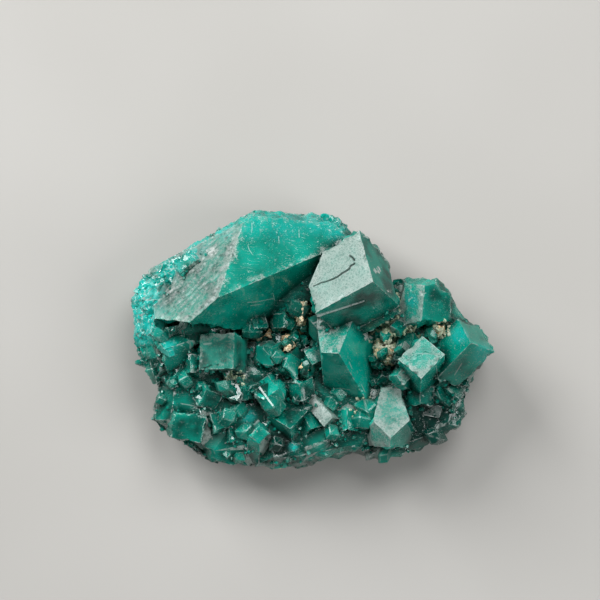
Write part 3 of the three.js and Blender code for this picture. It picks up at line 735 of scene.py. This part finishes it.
class Wires:
    # short ways to add the nodes that these materials are made of
    def __init__(self, tree):
        self.tree = tree

    def put(self, socket, value):
        if hasattr(value, "is_output"):
            self.tree.links.new(value, socket)
        else:
            socket.default_value = value

    def math(self, kind, a, b=0.0, clamp=False):
        n = self.tree.nodes.new("ShaderNodeMath")
        n.operation, n.use_clamp = kind, clamp
        self.put(n.inputs[0], a)
        self.put(n.inputs[1], b)
        return n.outputs[0]

    def times(self, a, b, clamp=False):
        return self.math("MULTIPLY", a, b, clamp)

    def plus(self, a, b, clamp=False):
        return self.math("ADD", a, b, clamp)

    def most(self, a, b):
        return self.math("MAXIMUM", a, b)

    def minus(self, a, b, clamp=False):
        return self.math("SUBTRACT", a, b, clamp)

    def lines(self, value, width):      # bright where the value is close to one half
        return self.ramp(self.math("ABSOLUTE", self.minus(value, 0.5)), 0.0, width, 1.0, 0.0)

    def ramp(self, value, low, high, toLow=0.0, toHigh=1.0):
        n = self.tree.nodes.new("ShaderNodeMapRange")
        n.interpolation_type = "SMOOTHSTEP"
        for socket, given in zip(n.inputs, (value, low, high, toLow, toHigh)):
            self.put(socket, given)
        return n.outputs[0]

    def mix(self, share, a, b):
        n = self.tree.nodes.new("ShaderNodeMix")
        n.data_type = "RGBA"
        self.put(n.inputs["Factor"], share)
        self.put(n.inputs[6], a)
        self.put(n.inputs[7], b)
        return n.outputs[2]

    def noise(self, where, scale, detail=4.0, rough=0.55):
        n = self.tree.nodes.new("ShaderNodeTexNoise")
        self.put(n.inputs["Vector"], where)
        for label, value in (("Scale", scale), ("Detail", detail), ("Roughness", rough)):
            n.inputs[label].default_value = value
        return n.outputs[0]

    def cells(self, where, scale, metric="CHEBYCHEV"):
        n = self.tree.nodes.new("ShaderNodeTexVoronoi")
        n.feature = "F1"
        n.distance = metric
        self.put(n.inputs["Vector"], where)
        n.inputs["Scale"].default_value = scale
        return n.outputs["Distance"]

    def millimetres(self, turn=(0, 0, 0), stretch=(1, 1, 1)):
        where = self.tree.nodes.new("ShaderNodeTexCoord").outputs["Object"]
        n = self.tree.nodes.new("ShaderNodeMapping")
        n.inputs["Rotation"].default_value = [math.radians(a) for a in turn]
        n.inputs["Scale"].default_value = [1000 * k for k in stretch]
        self.put(n.inputs["Vector"], where)
        return n.outputs[0]

    def height(self):
        n = self.tree.nodes.new("ShaderNodeSeparateXYZ")
        self.put(n.inputs[0], self.millimetres())
        return n.outputs["Z"]

    def attribute(self, name):
        n = self.tree.nodes.new("ShaderNodeAttribute")
        n.attribute_name = name
        return n.outputs["Fac"]

    def bump(self, height, strength, depth, shader):
        n = self.tree.nodes.new("ShaderNodeBump")
        n.inputs["Strength"].default_value = strength
        n.inputs["Distance"].default_value = depth * mm
        self.put(n.inputs["Height"], height)
        self.put(shader.inputs["Normal"], n.outputs[0])


def speckleGroup():
    # bright specks and broken fine lines, shared by the crystals and their druse
    tree = bpy.data.node_groups.new("speckles", "ShaderNodeTree")
    tree.interface.new_socket("Amount", in_out="INPUT", socket_type="NodeSocketFloat")
    for label in ("Specks", "Hairlines"):
        tree.interface.new_socket(label, in_out="OUTPUT", socket_type="NodeSocketFloat")
    given, out = tree.nodes.new("NodeGroupInput"), tree.nodes.new("NodeGroupOutput")
    amount = given.outputs["Amount"]
    w = Wires(tree)
    at = w.millimetres()
    dots = w.ramp(w.noise(at, 6.5, 2.0, 0.7), 0.6, 0.7)
    patches = w.ramp(w.noise(at, 0.7, 3.0), 0.38, 0.6)
    w.put(out.inputs["Specks"], w.times(w.times(dots, patches), amount))
    streak = w.noise(w.millimetres((20, 35, 62), (0.35, 3.2, 3.2)), 1.1, 2.0, 0.4)
    broken = w.ramp(w.noise(at, 0.9, 2.0), 0.5, 0.62)
    w.put(out.inputs["Hairlines"], w.times(w.times(w.lines(streak, 0.012), broken), amount))
    return tree


def dioptaseMaterial(name, s, speckles, whole):
    # whole: the large body with its masks, not the small crystals
    m = bpy.data.materials.new(name)
    m.use_nodes = True
    tree = m.node_tree
    shader = tree.nodes["Principled BSDF"]
    w = Wires(tree)
    at = w.millimetres()
    fine = w.noise(at, 3.4, 5.0, 0.65)
    shades = ("deepShade", "dark", "body", "light", "paintedGlowColour", "frostShade", "frost", "wearAndGlint")
    colours = {k: hexColour(s[k]) for k in shades}
    group = tree.nodes.new("ShaderNodeGroup")
    group.node_tree = speckles
    group.inputs["Amount"].default_value = s["speckles"]
    frost, paintedGlow = w.attribute("frost"), w.attribute("paintedGlow")
    opaque = w.minus(1.0, paintedGlow, True)

    # green, from dark to light by the tone of the face and drifting clouds; on the large body also painted
    # light along the edges and towards the top
    if whole:
        edgeLight = w.ramp(w.attribute("ridge"), 0.0, 1.0, 0.22, 0.0)
        topLight = w.ramp(w.height(), 3.0, 11.0, -0.16, 0.08)
        tone = w.plus(w.attribute("tone"), w.plus(edgeLight, topLight))
    else:
        tone = w.plus(w.attribute("tone"), w.times(w.attribute("shade"), 0.4))
    cloud = w.ramp(w.noise(at, 0.33, 4.0), 0.3, 0.7)
    depth = w.plus(w.times(tone, 0.75), w.times(cloud, 0.5))
    colour = w.mix(w.ramp(depth, 0.1, 0.5), colours["dark"], colours["body"])
    colour = w.mix(w.ramp(depth, 0.5, 1.0), colour, colours["light"])

    # how much frosting covers it
    covered = frost
    if whole:      # it gathers along the edges of faces that have some
        haze = w.times(w.ramp(w.attribute("ridge"), 0.0, 1.2, 0.5, 0.0), w.ramp(frost, 0.12, 0.2))
        haze = w.times(haze, w.ramp(w.noise(at, 0.55, 4.0, 0.7), 0.36, 0.62))
        covered = w.plus(frost, haze)
    grit = w.plus(w.noise(at, 2.6, 4.0, 0.75), w.times(w.minus(covered, 0.5), 0.75))
    frosted = w.times(w.ramp(grit, 0.4, 0.62), w.plus(w.times(covered, 0.5), 0.45), True)

    # painted glow in the thin places, painted shade in the hollows, in the deep places and at the feet
    if whole:
        colour = w.mix(w.times(paintedGlow, w.ramp(fine, 0.3, 0.65, 0.5, 1.0)), colour, colours["paintedGlowColour"])
        # painted shade over the deep parts of the cluster
        colour = w.mix(w.times(w.attribute("deepShade"), 0.8), colour, colours["deepShade"])
        frosted = w.times(frosted, w.plus(w.times(opaque, 0.8), 0.2))
        # painted shadow in the hollows, kept off the thin places
        shadow = w.times(w.ramp(w.attribute("hollow"), 0.0, 1.3, 0.75, 0.0), opaque)
        colour = w.mix(shadow, colour, colours["deepShade"])
    else:
        colour = w.mix(w.times(paintedGlow, 0.8), colour, colours["paintedGlowColour"])
        # painted shade at the feet of the small crystals and over the deep places
        paintedShade = w.most(w.times(w.attribute("foot"), opaque), w.attribute("deepShade"))
        colour = w.mix(w.times(paintedShade, 0.85), colour, colours["deepShade"])

    # frosting as a pale lace; the paleness is partly the frosted surface and partly painted sheen
    lace = w.lines(w.noise(at, 3.0, 4.0, 0.7), 0.11)
    between = w.ramp(covered, 0.35, 0.75, 0.4, 0.85)
    veil = w.plus(between, w.times(lace, w.minus(0.92, between)))
    colour = w.mix(w.times(frosted, veil), colour, w.mix(lace, colours["frostShade"], colours["frost"]))

    # white marks: specks, hairlines, worn edges, flakes and scratches, with painted glints in the thin
    # places, on some flakes and along the ledge and some scratches
    marks = w.most(group.outputs["Specks"], group.outputs["Hairlines"])
    marks = w.times(marks, w.ramp(tone, -0.1, 0.35, 0.2, 0.75))
    if whole:
        patchy = w.ramp(w.noise(at, 1.7, 4.0, 0.7), 0.44, 0.62)
        worn = w.times(w.ramp(w.attribute("ridge"), 0.02, 0.11, 1.0, 0.0), patchy)
        marks = w.most(marks, w.times(worn, 0.7))
        # painted glints in the thin places
        glints = w.times(w.ramp(w.noise(at, 2.4, 3.0, 0.7), 0.56, 0.68), paintedGlow)
        marks = w.most(marks, glints)
        ragged = w.times(w.noise(at, 1.9, 3.0, 0.6), 2.4)
        marks = w.most(marks, w.ramp(w.plus(w.attribute("flakeAndGlint"), ragged), 1.95, 2.2))
        # scratches, with painted highlights along the ledge and on the left block
        scratchesAndGlints = w.times(w.attribute("scratchAndGlint"), w.ramp(fine, 0.3, 0.55, 0.3, 1.0))
        marks = w.most(marks, scratchesAndGlints)
    else:
        patchy = w.ramp(w.noise(at, 2.2, 3.0, 0.7), 0.4, 0.65)
        marks = w.most(marks, w.times(w.times(w.attribute("edge"), patchy), 0.28))
    colour = w.mix(marks, colour, colours["wearAndGlint"])
    if whole:
        colour = w.mix(w.attribute("crack"), colour, colours["deepShade"])
    w.put(shader.inputs["Base Color"], colour)

    rough = w.plus(w.times(frosted, s["frostRoughness"] - s["clearRoughness"]), s["clearRoughness"])
    rough = w.most(rough, w.times(w.attribute("matt"), s["mattRoughness"]))
    w.put(shader.inputs["Roughness"], w.plus(rough, w.times(marks, s["wornRoughness"]), True))
    relief = w.plus(w.times(w.times(w.cells(at, 0.9), 0.4), frost), w.times(fine, 0.12))
    w.bump(w.plus(relief, w.times(frosted, 0.35)), s["bumpStrength"], s["bumpDepth"], shader)
    shader.inputs["Metallic"].default_value = 0.0
    shader.inputs["Transmission Weight"].default_value = s["transmission"]
    shader.inputs["IOR"].default_value = s["ior"]
    shader.inputs["Specular IOR Level"].default_value = s["specular"]
    absorb = tree.nodes.new("ShaderNodeVolumeAbsorption")
    absorb.inputs["Color"].default_value = hexColour(s["absorbColour"])
    absorb.inputs["Density"].default_value = s["absorbDensity"]
    w.put(tree.nodes["Material Output"].inputs["Volume"], absorb.outputs[0])
    return m


def rockMaterial(name, s, pale):
    m = bpy.data.materials.new(name)
    m.use_nodes = True
    shader = m.node_tree.nodes["Principled BSDF"]
    w = Wires(m.node_tree)
    at = w.millimetres()
    tan, cream, rust, grey = [hexColour(s[k]) for k in ("tan", "cream", "rust", "grey")]
    broad, fine = w.noise(at, 0.45, 4.0), w.noise(at, 4.5, 6.0, 0.7)
    colour = w.mix(w.ramp(broad, 0.35, 0.65), tan, cream if pale else rust)
    colour = w.mix(w.ramp(fine, 0.45, 0.62), colour, cream)
    colour = w.mix(w.times(w.ramp(w.noise(at, 1.3, 3.0), 0.55, 0.7), 0.6), colour, grey)
    w.put(shader.inputs["Base Color"], colour)
    w.put(shader.inputs["Roughness"], w.ramp(fine, 0.2, 0.8, 0.7, 0.98))
    relief = w.plus(fine, w.cells(at, 3.2, "EUCLIDEAN"))
    w.bump(relief, s["bumpStrength"], s["bumpDepth"], shader)
    return m


# Studio

studio = {
    "floor": "a6a4a0", "floorSize": 4.0,            # m
    "world": "e8eef0", "worldStrength": 0.16,
    "camera": {"place": (-1.18, 4.19, 500.0), "lens": 284.0, "sensor": 36.0},       # all mm
    "aim": 8.0,                 # mm, height that the lights point at
    # name, direction (bearing, height above the floor in degrees), distance mm, size mm, watts
    "lights": [
        ("key", 138, 30, 420, 240, 2.5),
        ("upper", 70, 54, 440, 240, 1.25),
        ("side", 345, 38, 420, 240, 0.85),
    ],
}


def buildStudio(s):
    scene = bpy.context.scene
    bpy.ops.mesh.primitive_plane_add(size=s["floorSize"])
    floor = bpy.context.object
    floor.name = "floor"
    m = bpy.data.materials.new("floorPaper")
    m.use_nodes = True
    paper = m.node_tree.nodes["Principled BSDF"]
    w = Wires(m.node_tree)
    shade = w.times(w.ramp(w.noise(w.millimetres(), 0.02, 2.0), 0.3, 0.7), 0.05)
    w.put(paper.inputs["Base Color"], w.mix(shade, hexColour(s["floor"]), [1, 1, 1, 1]))
    paper.inputs["Roughness"].default_value = 0.85
    floor.data.materials.append(m)
    world = bpy.data.worlds.new("studio")
    world.use_nodes = True
    sky = world.node_tree.nodes["Background"]
    sky.inputs["Color"].default_value = hexColour(s["world"])
    sky.inputs["Strength"].default_value = s["worldStrength"]
    scene.world = world
    target = Vector((0, 0, s["aim"] * mm))
    for name, bearing, rise, distance, size, watts in s["lights"]:
        lamp = bpy.data.lights.new(name, "AREA")
        lamp.size, lamp.energy = size * mm, watts
        light = bpy.data.objects.new(name, lamp)
        a, e = math.radians(bearing), math.radians(rise)
        away = Vector((math.cos(a) * math.cos(e), math.sin(a) * math.cos(e), math.sin(e)))
        light.location = target + away * distance * mm
        light.rotation_euler = away.to_track_quat("Z", "Y").to_euler()
        scene.collection.objects.link(light)
    c = s["camera"]
    lens = bpy.data.cameras.new("camera")
    lens.sensor_width, lens.lens = c["sensor"], c["lens"]
    lens.clip_start, lens.clip_end = 0.01, 10.0
    camera = bpy.data.objects.new("camera", lens)
    camera.location = [k * mm for k in c["place"]]
    scene.collection.objects.link(camera)
    scene.camera = camera
    scene.view_settings.view_transform = "Standard"
    print("studio: floor,", len(s["lights"]), "lights, camera")


speckles = speckleGroup()
bodyFinish = dioptaseMaterial("dioptaseBody", dioptase, speckles, True)
druseFinish = dioptaseMaterial("dioptaseDruse", dioptase, speckles, False)
sugarFinish = dioptaseMaterial("dioptaseSugar", {**dioptase, **paleDruse}, speckles, False)
rockFinish = rockMaterial("rockEarth", rockEarth, False)
grainFinish = rockMaterial("rockGrains", rockEarth, True)

crystals = buildCrystals(crystalBody)
crystals.data.materials.append(bodyFinish)
rock = buildRock(rockBody)
rock.data.materials.append(rockFinish)
plainSeed = seedCrystal("plainSeed", prism, 0)
wornSeed = seedCrystal("wornSeed", prism, prism["wornEdge"])
grainSeed = seedGrain("grainSeed")
scattered = [
    ("druse", "dioptase", crystals, "druse", plainSeed, druseGrowth, druseFinish),
    ("field_crystals", "dioptase", crystals, "field", wornSeed, fieldGrowth, druseFinish),
    ("crystal_sugar", "dioptase", crystals, "sugary", plainSeed, sugarGrowth, sugarFinish),
    ("rock_sugar", "dioptase", rock, "sugary", plainSeed, sugarGrowth, sugarFinish),
    ("rock_crystals", "dioptase", rock, "overgrown", wornSeed, overGrowth, druseFinish),
    ("rock_grains", "rock", rock, "grainy", grainSeed, grainCover, grainFinish),
]
pieces = [(crystals, "dioptase"), (rock, "rock")]
for name, slotName, base, attribute, shape, growth, material in scattered:
    tree = scatterTree(name + "Scatter", attribute)
    pieces.append((scatter(name, base, tree, shape, growth, material), slotName))
for seedShape in (plainSeed, wornSeed, grainSeed):
    bpy.data.objects.remove(seedShape)

for piece, slotName in pieces:
    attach(piece, "root")
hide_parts("dioptase_crystals")
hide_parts("host_rock")
buildStudio(studio)
